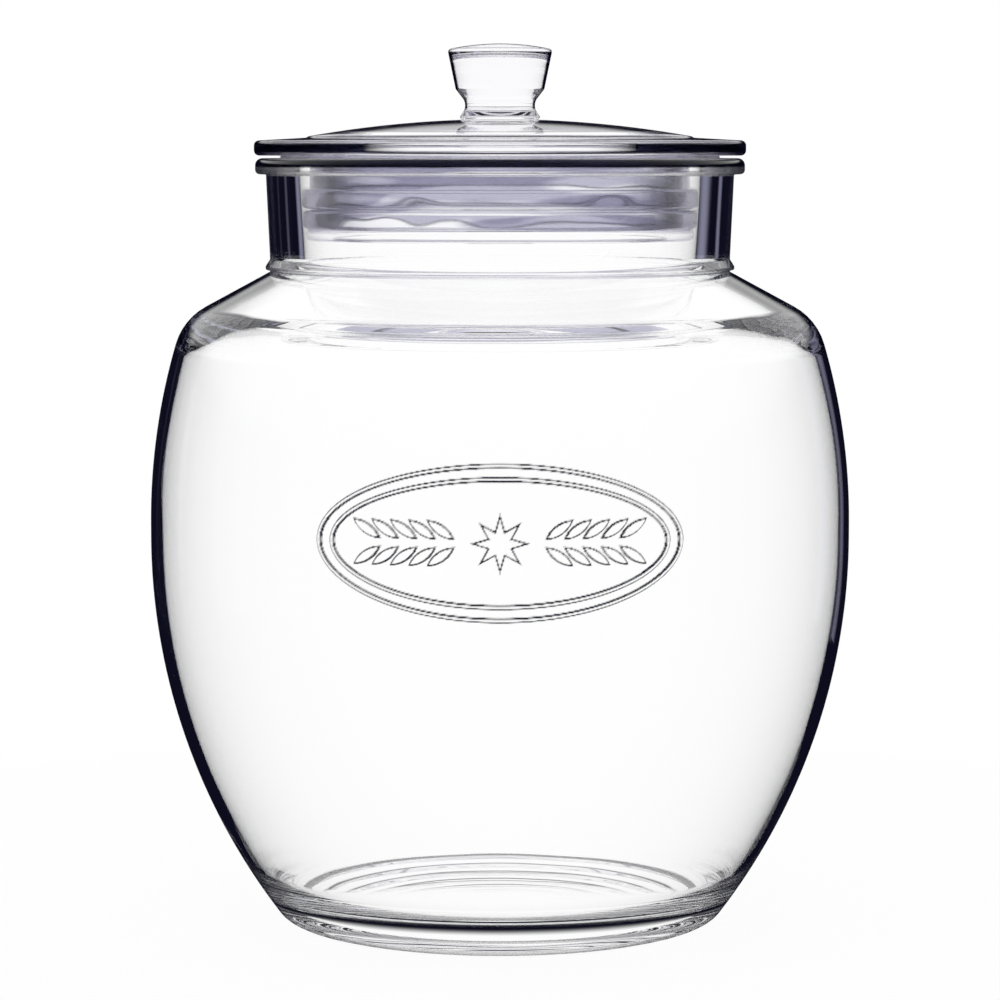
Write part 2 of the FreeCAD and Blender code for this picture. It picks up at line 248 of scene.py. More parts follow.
class GlassLook(bpy.types.PropertyGroup):
    """Colours and surface of the glass and the seal, with the painted shade at their edges and the
    seal's painted highlights.
    """
    body: tint("Glass", (1.0, 1.0, 1.0), "Colour of the clear glass")
    # Painted dark shade where the glass is seen edge on, and on the relief's flanks.
    edge: tint("Edge", (0.0002, 0.0002, 0.0012), "Colour where the glass is seen edge on")
    gleam: tint("Gleam", (0.1, 0.1, 0.1), "Strength of the reflections seen face on")
    seal: tint("Seal", (0.54, 0.53, 0.64), "Colour of the clear seal")
    # Painted dark shade where the seal is seen edge on.
    seal_edge_shade: tint("Seal edge", (0.2, 0.19, 0.28), "Colour of the seal seen edge on")
    depth_colour: tint("Depth colour", (0.8, 0.78, 0.88), "What thick glass lets through")
    depth: number("Depth", 6.0, "Absorption of the lid's glass per metre")
    ripple: number("Ripple", 0.06, "Strength of the pressed glass ripple", 1.0)
    ripple_scale: number("Ripple scale", 60.0, "Waves per metre")
    # Pale wavy bands painted on the seal as highlights.
    seal_highlight_bands: tint("Seal's clear bands", (0.97, 0.97, 1.0), "Colour of the seal's clear bands")
    seal_band_scale: number("Seal band scale", 25.0, "Waves per metre round the seal")
    seal_band_flatten: number("Seal band flatten", 9.0, "Bands for each wave")
    seal_ripple: number("Seal ripple", 0.6, "Strength of the seal's waves", 1.0)
    seal_ripple_scale: number("Seal ripple scale", 80.0, "Waves per metre")


class Studio(bpy.types.PropertyGroup):
    """Camera, floor and light."""
    camera_distance: measured("Camera distance", 1.0, "From the jar's axis")
    camera_height: measured("Camera height", 0.209, "Above the floor")
    aim_height: measured("Aim height", 0.1139, "Height that the camera looks at")
    lens: number("Lens", 132.36, "Focal length in millimetres")
    dark: tint("Dark room", (0.004, 0.004, 0.012), "Seen by light reflected inside the glass")
    pale: tint("Pale window", (0.3, 0.3, 0.42), "Windows of the dark room")
    floor_glow: number("Floor glow", 0.95, "How much the table glows beside the jar", 1.0)
    floor_radius: measured("Floor radius", 0.45, "Radius of the white table")


# ---- Half profiles ------------------------------------------------------------------
class Outline:
    """Half profile of a turned piece: points (radius, height) and the way each one faces.

    A profile runs with the outside on its right: out along the underside, up the outside,
    in over the top and down the inside.
    """

    def __init__(self, split=1):
        self.split = split
        self.points, self.facing = [], []

    def count(self):
        """Number of points so far."""
        return sum(len(part) for part in self.points)

    def add(self, points, facing):
        """Joins a stretch on, without repeating the point that both share."""
        joined = int(bool(self.points) and np.hypot(*(self.points[-1][-1] - points[0])) < TINY)
        self.points.append(points[joined:])
        self.facing.append(facing[joined:])

    def line(self, start, end, step=LINE_STEP):
        """Straight stretch: start + (end - start) * t, facing to the right of its travel."""
        start, along = np.array(start), np.subtract(end, start)
        length = np.hypot(*along)
        if length < TINY:
            return
        count = math.ceil(length / step) * self.split
        t = np.linspace(0.0, 1.0, count + 1)[:, None]
        facing = (along[1] / length, -along[0] / length)
        self.add(start + along * t, np.tile(facing, (count + 1, 1)))

    def arc(self, centre, radius, start, end, step=ARC_STEP):
        """Arc: centre + radius * (cos a, sin a), facing outward where a grows, else inward."""
        sweep = abs(end - start)
        count = max(2, math.ceil(sweep * radius / step), math.ceil(sweep / ARC_TURN)) * self.split
        a = np.linspace(start, end, count + 1)
        out = np.stack((np.cos(a), np.sin(a)), axis=1)
        self.add(np.array(centre) + radius * out, out * math.copysign(1.0, end - start))

    def rounded(self, corners):
        """Straight stretches through (radius, height, rounding) corners, each one rounded."""
        corners = [np.array(corner) for corner in corners]
        last = corners[0][:2]
        for before, here, after in zip(corners, corners[1:], corners[2:]):
            into, out = here[:2] - before[:2], after[:2] - here[:2]
            into_length, out_length = np.hypot(*into), np.hypot(*out)
            turn = math.atan2(into[0] * out[1] - into[1] * out[0], into @ out)
            bend = abs(math.tan(turn / 2))
            rounding = min(here[2], 0.45 * min(into_length, out_length) / max(bend, 1e-6))
            start = here[:2] - into / into_length * rounding * bend
            side = math.copysign(rounding, turn)
            centre = start + np.array((-into[1], into[0])) / into_length * side
            first = math.atan2(start[1] - centre[1], start[0] - centre[0])
            self.line(last, start)
            self.arc(centre, rounding, first, first + turn)
            last = here[:2] + out / out_length * rounding * bend
        self.line(last, corners[-1][:2])

    def arrays(self):
        """Points and facings, each as one array."""
        return np.concatenate(self.points), np.concatenate(self.facing)


def arc_point(centre, radius, turn):
    """centre + radius * (cos turn, sin turn)."""
    return centre[0] + radius * math.cos(turn), centre[1] + radius * math.sin(turn)


def belly_arcs(shape, inset, heel, floor, corner, shoulder_inset):
    """Heel, lower, upper and corner arcs of the belly, each (centre, radius, start, end).

    The two big arcs move in by inset and the shoulder's line by shoulder_inset.  The heel
    circle touches the floor and the lower arc, the corner circle the upper arc and the line.
    """
    low_radius, high_radius = shape.lower_curve - inset, shape.upper_curve - inset
    low = (shape.belly_radius - shape.lower_curve, shape.belly_low)
    high = (shape.belly_radius - shape.upper_curve, shape.belly_low + shape.belly_band)
    heel_z = floor + heel
    heel_r = low[0] + math.sqrt((low_radius - heel) ** 2 - (low[1] - heel_z) ** 2)
    heel_turn = math.atan2(heel_z - low[1], heel_r - low[0])
    along = np.array((math.cos(shape.shoulder_slope), -math.sin(shape.shoulder_slope)))
    across = np.array((-along[1], along[0]))
    foot = np.array((shape.neck_foot_radius, shape.height - shape.neck_height))
    start = foot - across * (shoulder_inset + corner)
    gap = start - np.array(high)
    reach = -gap @ along + math.sqrt((gap @ along) ** 2 - gap @ gap + (high_radius - corner) ** 2)
    centre = start + along * reach
    corner_turn = math.atan2(centre[1] - high[1], centre[0] - high[0])
    return [((heel_r, heel_z), heel, -math.pi / 2, heel_turn),
            (low, low_radius, heel_turn, 0.0),
            (high, high_radius, 0.0, corner_turn),
            (centre, corner, corner_turn, math.pi / 2 - shape.shoulder_slope)]


def band_turns(low, high, band):
    """Where the band's two heights lie on the lower and on the upper arc."""
    return (math.asin((band[0] - low[0][1]) / low[1]),
            math.asin((band[1] - high[0][1]) / high[1]))


def belly_band(line, low, high, band):
    """Stretch of the belly's outside between two heights: arc, straight band, arc."""
    down, up = band_turns(low, high, band)
    line.arc(low[0], low[1], down, 0.0, BELLY_STEP)
    line.line(arc_point(*low[:2], 0.0), arc_point(*high[:2], 0.0), BELLY_STEP)
    line.arc(high[0], high[1], 0.0, up, BELLY_STEP)


def jar_outline(shape, band):
    """Half profile of the whole body, and the first and last row of the medallion's band."""
    outer = belly_arcs(shape, 0.0, shape.heel_radius, 0.0, shape.shoulder_corner, 0.0)
    inner = belly_arcs(shape, shape.belly_wall, shape.inner_heel, shape.base_thickness,
                       shape.shoulder_corner - shape.belly_wall, shape.shoulder_wall)
    heel, low, high, corner = outer
    ring = heel[0][0] - shape.standing_width
    hollow = (ring ** 2 + shape.push_up ** 2) / (2 * shape.push_up)
    down, up = band_turns(low, high, band)

    line = Outline()
    line.arc((0.0, shape.push_up - hollow), hollow, math.pi / 2, math.acos(ring / hollow))
    line.line((ring, 0.0), (heel[0][0], 0.0))
    line.arc(*heel)
    line.arc(low[0], low[1], low[2], down, BELLY_STEP)
    first = line.count() - 1
    belly_band(line, low, high, band)
    last = line.count() - 1
    line.arc(high[0], high[1], up, high[3], BELLY_STEP)
    line.arc(*corner)

    inside = arc_point(*inner[3][:2], inner[3][3])
    foot_z = shape.height - shape.neck_height
    top_z = shape.height - shape.rim_height
    top_r = shape.neck_foot_radius + shape.neck_flare
    ridge_z, ridge_r = foot_z + shape.ridge_lift, shape.neck_foot_radius + shape.ridge
    slope, draft = math.tan(shape.shoulder_slope), math.tan(shape.bore_draft)
    reach = inside[0] - shape.mouth_radius + shape.height * draft
    throat_z = (inside[1] + reach * slope) / (1 + draft * slope)
    line.rounded([
        (*arc_point(*corner[:2], corner[3]), 0.0),
        (shape.neck_foot_radius, foot_z, shape.neck_fillet),
        (shape.neck_foot_radius, ridge_z, SMALL_ROUNDING),
        (ridge_r, ridge_z, RIDGE_ROUNDING),
        (ridge_r, ridge_z + RIDGE_FACE, RIDGE_ROUNDING),
        (shape.neck_foot_radius, ridge_z + shape.ridge_height, 2 * SMALL_ROUNDING),
        (top_r, top_z, 2 * SMALL_ROUNDING),
        (top_r + shape.rim_overhang, top_z, shape.rim_rounding),
        (top_r + shape.rim_overhang, shape.height, shape.rim_top_rounding),
        (shape.mouth_radius, shape.height, shape.rim_rounding),
        (shape.mouth_radius - (shape.height - throat_z) * draft, throat_z, shape.throat_rounding),
        (*inside, 0.0),
    ])
    for centre, radius, start, end in reversed(inner):
        line.arc(centre, radius, end, start, BELLY_STEP)
    line.line((inner[0][0][0], shape.base_thickness), (0.0, shape.base_thickness))
    return line, first, last


def bore_radius(shape, height):
    """Inside radius of the neck at a height."""
    return shape.mouth_radius - (shape.height - height) * math.tan(shape.bore_draft)


def lid_outline(lid):
    """Half profile of the lid, from under the crown round to the top of the knob."""
    rise = lid.top - lid.knob_height - lid.crown_rise
    crown = rise + lid.crown_rise
    dome_edge = (lid.step_radius - lid.step_width, rise + lid.dome_edge_rise)
    drop = crown - dome_edge[1]
    dome = (dome_edge[0] ** 2 + drop ** 2) / (2 * drop)
    centre = (0.0, crown - dome)
    bore = lid.skirt_radius - lid.wall

    def turn(radius, sphere):
        return math.acos(radius / sphere)

    roof = dome - lid.wall
    roof_turn = turn(bore - 2 * lid.inner_rounding, roof)
    foot_top = lid.bottom + lid.foot_thickness
    edge = lid.foot_thickness / 3
    line = Outline()
    line.arc(centre, roof, math.pi / 2, roof_turn)
    line.rounded([
        (*arc_point(centre, roof, roof_turn), 0.0),
        (*arc_point(centre, roof, turn(bore, roof)), lid.inner_rounding),
        (bore, lid.bottom, edge),
        (lid.foot_radius, lid.bottom, edge),
        (lid.foot_radius, foot_top, edge),
        (lid.skirt_radius, foot_top, SMALL_ROUNDING),
        (lid.skirt_radius, rise, 2 * SMALL_ROUNDING),
        (lid.flange_radius, rise, lid.flange_rounding),
        (lid.flange_radius, rise + lid.flange_edge, lid.flange_rounding),
        (lid.step_radius, rise + lid.flange_top_rise, SMALL_ROUNDING),
        (*dome_edge, 0.0),
    ])
    stem = lid.knob_foot - STEM_UNDERCUT
    line.arc(centre, dome, turn(dome_edge[0], dome), turn(stem + SMALL_ROUNDING, dome))
    knob_edge = lid.top - lid.knob_dome
    side_foot = (lid.knob_radius - lid.knob_taper, knob_edge - lid.knob_side)
    top_corner = (lid.knob_radius - lid.knob_rounding, knob_edge + KNOB_DOME_EDGE)
    cap_drop = lid.top - top_corner[1]
    cap = (top_corner[0] ** 2 + cap_drop ** 2) / (2 * cap_drop)
    line.rounded([
        (*arc_point(centre, dome, turn(stem + SMALL_ROUNDING, dome)), 0.0),
        (*arc_point(centre, dome, turn(stem, dome)), SMALL_ROUNDING),
        (lid.knob_foot, crown + STEM_LIFT, STEM_UNDERCUT),
        (lid.knob_waist, crown + lid.knob_flare, WAIST_ROUNDING),
        (lid.knob_waist, side_foot[1] - lid.knob_draw_in, WAIST_ROUNDING),
        (*side_foot, SIDE_ROUNDING),
        (lid.knob_radius, knob_edge, lid.knob_rounding),
        (*top_corner, 0.0),
    ])
    line.arc((0.0, lid.top - cap), cap, turn(top_corner[0], cap), math.pi / 2)
    return line


def seal_outline(seal, lid, jar):
    """Half profile of the seal: sleeve, two ribs and the lip that lies on the rim."""
    inner = lid.skirt_radius + seal.clearance
    sleeve = inner + seal.sleeve_wall
    top, rim = seal.top - CONTACT_GAP, jar.height + CONTACT_GAP
    middle = (top + seal.bottom) / 2
    corners = [(inner, middle, 0.0), (inner, seal.bottom + CONTACT_GAP, SMALL_ROUNDING)]
    base = seal.bottom + CONTACT_GAP
    for height in (seal.low_rib, seal.high_rib):
        reach = bore_radius(jar, base) - seal.clearance
        corners += [(reach, base, seal.rib_rounding), (reach, base + height, seal.rib_rounding),
                    (sleeve, base + height, SMALL_ROUNDING),
                    (sleeve, base + height + seal.groove, SMALL_ROUNDING)]
        base += height + seal.groove
    corners[-1:] = [(sleeve, rim, 2 * SMALL_ROUNDING), (seal.lip_radius, rim, SMALL_ROUNDING),
                    (seal.lip_radius, top, SMALL_ROUNDING), (inner, top, SMALL_ROUNDING),
                    (inner, middle, 0.0)]
    line = Outline()
    line.rounded(corners)
    return line


# ---- Relief -------------------------------------------------------------------------
def rise(depth, edge):
    """Smooth step from 0 to 1 as the depth inside an outline goes from 0 to edge."""
    t = np.clip(depth / edge, 0.0, 1.0)
    return t * t * (3.0 - 2.0 * t)


def oval_ring(x, z, half_width, half_height, width):
    """Depth inside an oval ring: half its width less the distance to its middle line."""
    a, b = half_width - width / 2, half_height - width / 2
    ratio = np.sqrt((x / a) ** 2 + (z / b) ** 2)
    slope = np.sqrt((x / a ** 2) ** 2 + (z / b ** 2) ** 2) / np.maximum(ratio, 1e-6)
    return width / 2 - np.abs(ratio - 1.0) / np.maximum(slope, 1e-6)


def leaf(x, z, foot, turn, length, width):
    """Depth inside a pointed leaf: the overlap of two circles through both its tips."""
    middle = (foot[0] + math.cos(turn) * length / 2, foot[1] + math.sin(turn) * length / 2)
    along = (x - middle[0]) * math.cos(turn) + (z - middle[1]) * math.sin(turn)
    across = (z - middle[1]) * math.cos(turn) - (x - middle[0]) * math.sin(turn)
    radius = (length ** 2 / 4 + width ** 2 / 4) / width
    return radius - np.hypot(along, np.abs(across) + radius - width / 2)


def star(x, z, reach, points):
    """Depth inside a star: the distance to the edge from a long point to a short one."""
    sector = math.pi / points
    a = np.abs((np.arctan2(x, z) + sector) % (2 * sector) - sector)
    radius = np.hypot(x, z)
    notch = (STAR_NOTCH * reach * math.cos(sector), STAR_NOTCH * reach * math.sin(sector))
    edge = np.array((notch[0] - reach, notch[1]))
    px, py = radius * np.cos(a) - reach, radius * np.sin(a)
    return (edge[0] * py - edge[1] * px) / np.hypot(*edge)


def medallion_height(shape, x, z):
    """Height of the relief over the belly at (x, z) from the oval's middle."""
    inset = shape.ring_width + shape.ring_gap
    depths = [oval_ring(x, z, shape.width / 2, shape.height / 2, shape.ring_width),
              oval_ring(x, z, shape.width / 2 - inset, shape.height / 2 - inset, shape.ring_width),
              star(x, z, shape.star_radius, shape.star_points)]
    for pair in range(shape.leaf_pairs):
        foot = shape.stem_start + pair * shape.stem_pitch
        for up in (1, -1):
            depths.append(leaf(np.abs(x), z, (foot, up * shape.leaf_width / 4),
                               up * shape.leaf_spread, shape.leaf_length, shape.leaf_width))
    return shape.relief * rise(np.maximum.reduce(depths), shape.edge)


# ---- Meshes -------------------------------------------------------------------------
def turned(points, facing, b):
    """Positions (r sin b, -r cos b, z) and normals of a profile turned to the angles b."""
    r, z = points[:, :1], points[:, 1:]
    out, up = facing[:, :1], facing[:, 1:]
    sine, cosine = np.sin(b)[None], np.cos(b)[None]
    place = np.stack((r * sine, -r * cosine, z + 0 * sine), axis=-1)
    normal = np.stack((out * sine, -out * cosine, up + 0 * sine), axis=-1)
    return place, normal


def quads(index):
    """Faces between neighbouring rows and columns of a grid of vertex numbers."""
    return np.stack((index[:-1, :-1], index[:-1, 1:], index[1:, 1:], index[1:, :-1]), axis=-1)


def closed_columns(index):
    """The grid with its first column repeated after its last."""
    return np.concatenate((index, index[:, :1]), axis=1)


def make_piece(name, places, normals, faces, material, flanks=None):
    """Mesh object at the origin from vertex places, their normals and lists of faces.

    flanks, where given, marks each vertex with the share of painted dark shade that it gets on
    the flank of the relief.
    """
    mesh = bpy.data.meshes.new(name)
    corners = np.concatenate([part.ravel() for part in faces])
    sizes = np.concatenate([np.full(len(part), part.shape[1]) for part in faces])
    starts = np.concatenate(([0], np.cumsum(sizes)[:-1]))
    mesh.vertices.add(len(places))
    mesh.vertices.foreach_set("co", places.ravel().astype(np.float32))
    mesh.loops.add(len(corners))
    mesh.loops.foreach_set("vertex_index", corners.astype(np.int32))
    mesh.polygons.add(len(sizes))
    mesh.polygons.foreach_set("loop_start", starts.astype(np.int32))
    mesh.polygons.foreach_set("use_smooth", np.ones(len(sizes), dtype=bool))
    mesh.update(calc_edges=True)
    mesh.validate()
    mesh.normals_split_custom_set_from_vertices(normals.tolist())
    if flanks is not None:
        mark = mesh.attributes.new(FLANK_SHADE, "FLOAT", "POINT")
        mark.data.foreach_set("value", flanks.astype(np.float32))
    piece = bpy.data.objects.new(name, mesh)
    bpy.context.scene.collection.objects.link(piece)
    mesh.materials.append(material)
    return piece


def turned_faces(rows, columns, poles):
    """Vertex numbers and faces of a turned profile whose two ends are poles or joined."""
    if not poles:
        index = np.arange(rows * columns).reshape(rows, columns)
        ring = closed_columns(np.concatenate((index, index[:1])))
        return index, [quads(ring).reshape(-1, 4)]
    index = np.arange((rows - 2) * columns).reshape(rows - 2, columns)
    ring = closed_columns(index)
    foot = np.stack((np.full(columns, index.size), ring[0, 1:], ring[0, :-1]), axis=-1)
    head = np.stack((ring[-1, :-1], ring[-1, 1:], np.full(columns, index.size + 1)), axis=-1)
    return index, [quads(ring).reshape(-1, 4), foot, head]


def turned_piece(name, line, columns, material, poles=True):
    """Closed surface of revolution of a profile."""
    points, facing = line.arrays()
    b = np.arange(columns) * 2 * math.pi / columns
    if not poles:
        points, facing = points[:-1], facing[:-1]
    place, normal = turned(points, facing, b)
    index, faces = turned_faces(len(points), columns, poles)
    if poles:
        ends = (0, -1)
        places = np.concatenate((place[1:-1].reshape(-1, 3), place[ends, 0]))
        upright = [(0, 0, facing[end][1]) for end in ends]
        normals = np.concatenate((normal[1:-1].reshape(-1, 3), upright))
    else:
        places, normals = place.reshape(-1, 3), normal.reshape(-1, 3)
    return make_piece(name, places, normals, faces, material)


def stitched(coarse, fine):
    """Triangles between one coarse side of a block and the finer row beside it.

    Each coarse edge fans out to the fine points that lie along it: the first half of them
    from its first end, the second half from its second, with one triangle between.
    """
    parts = (len(fine) - 1) // (len(coarse) - 1)
    half = parts // 2
    start = np.arange(len(coarse) - 1) * parts
    fans = [np.stack((coarse[:-1] if step < half else coarse[1:], fine[start + step],
                      fine[start + step + 1]), axis=-1) for step in range(parts)]
    fans.append(np.stack((coarse[:-1], fine[start + half], coarse[1:]), axis=-1))
    return np.concatenate(fans)


def numeric_normals(place):
    """Unit normals of a grid of places: the cross product of its two directions."""
    across = np.gradient(place, axis=1)
    up = np.gradient(place, axis=0)
    normal = np.cross(across, up)
    return normal / np.linalg.norm(normal, axis=-1, keepdims=True)


def jar_body(shape, relief, material):
    """The body: its turned profile, with a finer patch on the front that carries the relief.

    On the patch a point is moved along its own normal by the height of the relief.  Its
    share of painted dark shade is min(1, f * s * (1 - s)), where s is the height as a share of
    the full one and f the fill factor of the flank shade.
    """
    margin = PATCH_MARGIN + relief.height / 2
    band = (relief.centre_z - margin, relief.centre_z + margin)
    line, first, last = jar_outline(shape, band)
    points, facing = line.arrays()
    columns = shape.columns
    b = (np.arange(columns) - columns // 2) * 2 * math.pi / columns
    place, normal = turned(points, facing, b)
    index, faces = turned_faces(len(points), columns, True)
    places = np.concatenate((place[1:-1].reshape(-1, 3), place[(0, -1), 0]))
    normals = np.concatenate((normal[1:-1].reshape(-1, 3), [(0, 0, -1), (0, 0, 1)]))

    reach = math.asin((relief.width / 2 + PATCH_MARGIN) / shape.belly_radius)
    side = math.ceil(reach / (2 * math.pi / columns))
    left, right = columns // 2 - side, columns // 2 + side
    bottom, top = first - 1, last - 1

    fine = Outline(split=PATCH_SPLIT)
    outer = belly_arcs(shape, 0.0, shape.heel_radius, 0.0, shape.shoulder_corner, 0.0)
    belly_band(fine, outer[1], outer[2], band)
    fine_points, fine_facing = fine.arrays()
    fine_b = np.linspace(b[left], b[right], (right - left) * PATCH_SPLIT + 1)
    patch, patch_normal = turned(fine_points, fine_facing, fine_b)
    height = medallion_height(relief, patch[..., 0], patch[..., 2] - relief.centre_z)
    patch = patch + patch_normal * height[..., None]
    patch_normal[1:-1, 1:-1] = numeric_normals(patch)[1:-1, 1:-1]

    patch_index = len(places) + np.arange(height.size).reshape(height.shape)
    rows, cols = (0, 0, -1, -1), (0, -1, 0, -1)
    patch_index[rows, cols] = index[(bottom, bottom, top, top), (left, right, left, right)]

    grid = quads(closed_columns(index))
    keep = np.ones(grid.shape[:2], dtype=bool)
    keep[bottom - 1:top + 1, left:right] = False
    keep[bottom:top, left - 1:right + 1] = False
    stitches = [stitched(index[top + 1, left:right + 1], patch_index[-1]),
                stitched(index[bottom - 1, left:right + 1][::-1], patch_index[0][::-1]),
                stitched(index[bottom:top + 1, left - 1], patch_index[:, 0]),
                stitched(index[bottom:top + 1, right + 1][::-1], patch_index[::-1, -1])]
    faces[0] = grid[keep]
    faces.append(quads(patch_index).reshape(-1, 4))
    faces += stitches
    places = np.concatenate((places, patch.reshape(-1, 3)))
    normals = np.concatenate((normals, patch_normal.reshape(-1, 3)))
    # Share of painted dark shade on the relief's flanks.
    share = height / relief.relief
    steep = np.minimum(1.0, FLANK_SHADE_FILL * share * (1.0 - share)).ravel()
    flanks = np.concatenate((np.zeros(len(places) - steep.size), steep))

    used = np.zeros(len(places), dtype=bool)
    for part in faces:
        used[part.ravel()] = True
    number = np.cumsum(used) - 1
    return make_piece("jar_glass_body", places[used], normals[used],
                      [number[part] for part in faces], material, flanks[used])


# ---- Materials ----------------------------------------------------------------------
def ripple_group():
    """Low waves as a height: one plain noise, squeezed along the axis by Flatten."""
    group = bpy.data.node_groups.get("Glass Ripple")
    if group:
        return group
    group = bpy.data.node_groups.new("Glass Ripple", "ShaderNodeTree")
    for name, default in (("Scale", 60.0), ("Flatten", 1.0)):
        socket = group.interface.new_socket(name, in_out="INPUT", socket_type="NodeSocketFloat")
        socket.default_value = default
    group.interface.new_socket("Height", in_out="OUTPUT", socket_type="NodeSocketFloat")
    nodes, links = group.nodes, group.links
    entry, leave = nodes.new("NodeGroupInput"), nodes.new("NodeGroupOutput")
    place = nodes.new("ShaderNodeTexCoord")
    stretch = nodes.new("ShaderNodeVectorMath")
    stretch.operation = "MULTIPLY"
    amount = nodes.new("ShaderNodeCombineXYZ")
    amount.inputs["X"].default_value = 1.0
    amount.inputs["Y"].default_value = 1.0
    waves = nodes.new("ShaderNodeTexNoise")
    waves.inputs["Detail"].default_value = 0.0
    links.new(entry.outputs["Flatten"], amount.inputs["Z"])
    links.new(place.outputs["Object"], stretch.inputs[0])
    links.new(amount.outputs["Vector"], stretch.inputs[1])
    links.new(stretch.outputs["Vector"], waves.inputs["Vector"])
    links.new(entry.outputs["Scale"], waves.inputs["Scale"])
    links.new(waves.outputs["Fac"], leave.inputs["Height"])
    return group


def add_ripple(nodes, links, shader, scale, flatten, strength):
    """Bump the shader's normal with the ripple group."""
    wave = nodes.new("ShaderNodeGroup")
    wave.node_tree = ripple_group()
    wave.inputs["Scale"].default_value = scale
    wave.inputs["Flatten"].default_value = flatten
    bump = nodes.new("ShaderNodeBump")
    bump.inputs["Strength"].default_value = strength
    bump.inputs["Distance"].default_value = RIPPLE_DEPTH
    links.new(wave.outputs["Height"], bump.inputs["Height"])
    links.new(bump.outputs["Normal"], shader.inputs["Normal"])


def glass_material(name, look, zones, ripple=0.0, depth=0.0):
    """Clear glass: refraction, painted dark shade at its edges, and a ripple or some absorption.

    The camera sees painted dark shade where thin walls are seen edge on.  Each zone is a low
    height, a high height and the two angles, as shares of edge on, between which the camera
    sees painted dark shade on its thicker glass.  The flanks of the relief get painted dark
    shade as well, seen by every ray.
    """
    material = bpy.data.materials.new(name)
    material.use_nodes = True
    nodes, links = material.node_tree.nodes, material.node_tree.links
    nodes.clear()
    out = nodes.new("ShaderNodeOutputMaterial")
    glass = nodes.new("ShaderNodeBsdfPrincipled")
    glass.inputs["Transmission Weight"].default_value = 1.0
    glass.inputs["IOR"].default_value = GLASS_IOR
    glass.inputs["Roughness"].default_value = 0.0
    glass.inputs["Specular Tint"].default_value = (*look.gleam, 1.0)
    glass.inputs["Metallic"].default_value = 0.0
    facing = nodes.new("ShaderNodeLayerWeight")
    facing.inputs["Blend"].default_value = 0.5
    place = nodes.new("ShaderNodeTexCoord")
    parts = nodes.new("ShaderNodeSeparateXYZ")
    links.new(place.outputs["Object"], parts.inputs["Vector"])
    flank = nodes.new("ShaderNodeAttribute")
    flank.attribute_name = FLANK_SHADE
    # Painted dark shade: thin walls edge on, then the thicker glass of each zone.
    shade = smooth_range(nodes, links, facing.outputs["Facing"], *THIN_EDGE_PAINTED_SHADE)
    for low, high, angles in zones:
        zone_shade = smooth_range(nodes, links, facing.outputs["Facing"], *angles)
        zone = between(nodes, links, parts.outputs["Z"], low, high, ZONE_BLEND)
        zone_shade = math_node(nodes, links, "MULTIPLY", zone_shade, zone)
        shade = math_node(nodes, links, "MAXIMUM", shade, zone_shade)
    # Only the camera sees the painted edge shade; the painted shade on the relief's flanks reaches
    # every ray.
    near = nodes.new("ShaderNodeLightPath").outputs["Is Camera Ray"]
    shade = math_node(nodes, links, "MULTIPLY", shade, near)
    shade = math_node(nodes, links, "MAXIMUM", shade, flank.outputs["Fac"])
    links.new(mixed_colour(nodes, links, shade, look.body, look.edge), glass.inputs["Base Color"])
    links.new(glass.outputs["BSDF"], out.inputs["Surface"])
    if ripple > 0.0:
        add_ripple(nodes, links, glass, look.ripple_scale, GLASS_FLATTEN, ripple)
    if depth > 0.0:
        absorption = nodes.new("ShaderNodeVolumeAbsorption")
        absorption.inputs["Color"].default_value = (*look.depth_colour, 1.0)
        absorption.inputs["Density"].default_value = depth
        links.new(absorption.outputs["Volume"], out.inputs["Volume"])
    return material


def seal_material(look):
    """Clear flexible seal: pale wavy bands, painted in as highlights, over its tint under a satin
    skin, and painted dark shade where it is seen edge on.
    """
    material = bpy.data.materials.new("clear seal")
    material.use_nodes = True
    nodes, links = material.node_tree.nodes, material.node_tree.links
    rubber = nodes["Principled BSDF"]
    facing = nodes.new("ShaderNodeLayerWeight")
    facing.inputs["Blend"].default_value = 0.5
    # Painted dark shade where the seal is seen edge on.
    side = smooth_range(nodes, links, facing.outputs["Facing"], *SEAL_EDGE_PAINTED_SHADE)
    # Pale wavy bands painted in as the seal's highlights.
    bands = nodes.new("ShaderNodeGroup")
    bands.node_tree = ripple_group()
    bands.inputs["Scale"].default_value = look.seal_band_scale
    bands.inputs["Flatten"].default_value = look.seal_band_flatten
    clear = smooth_range(nodes, links, bands.outputs["Height"], *HIGHLIGHT_BANDS)
    broad = mixed_colour(nodes, links, clear, look.seal, look.seal_highlight_bands)
    links.new(mixed_colour(nodes, links, side, broad, look.seal_edge_shade), rubber.inputs["Base Color"])
    rubber.inputs["Transmission Weight"].default_value = 1.0
    rubber.inputs["IOR"].default_value = SEAL_IOR
    rubber.inputs["Roughness"].default_value = SEAL_ROUGHNESS
    rubber.inputs["Metallic"].default_value = 0.0
    add_ripple(nodes, links, rubber, look.seal_ripple_scale, SEAL_FLATTEN, look.seal_ripple)
    return material


def math_node(nodes, links, operation, first, second=None):
    """Math node on two values or links."""
    node = nodes.new("ShaderNodeMath")
    node.operation = operation
    for socket, value in zip(node.inputs, (first, second)):
        if isinstance(value, bpy.types.NodeSocket):
            links.new(value, socket)
        elif value is not None:
            socket.default_value = value
    return node.outputs["Value"]


def smooth_range(nodes, links, value, low, high):
    """Smooth step from 0 at low to 1 at high."""
    node = nodes.new("ShaderNodeMapRange")
    node.interpolation_type = "SMOOTHSTEP"
    links.new(value, node.inputs["Value"])
    node.inputs["From Min"].default_value = low
    node.inputs["From Max"].default_value = high
    return node.outputs["Result"]


